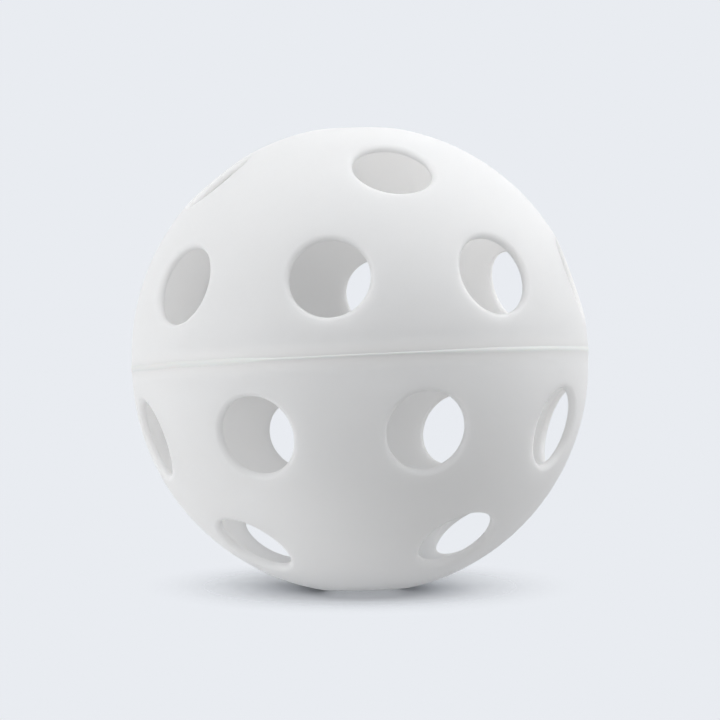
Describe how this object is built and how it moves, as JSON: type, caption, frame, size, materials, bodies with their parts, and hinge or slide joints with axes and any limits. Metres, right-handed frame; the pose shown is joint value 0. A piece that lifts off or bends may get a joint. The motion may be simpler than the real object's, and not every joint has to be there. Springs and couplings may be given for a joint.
{
  "type": "plastic softball",
  "caption": "Hollow white plastic practice softball: two perforated half shells welded rim to rim with a thin raised seam.",
  "frame": {"origin": "centre of the ball, in the plane of the weld", "axes": "+Z out through the upper pole hole, -Y towards the viewer of the picture, +X to the viewer's right"},
  "size_m": [0.0974, 0.0974, 0.0976],
  "materials": {
    "moulded_shell": "satin moulded polyethylene, slightly translucent",
    "weld_plastic": "remelted polyethylene, slightly glossier than the shell"
  },
  "bodies": {
    "root": {"upper_half": "moulded_shell", "lower_half": "moulded_shell", "weld_seam": "weld_plastic"}
  },
  "joints": []
}
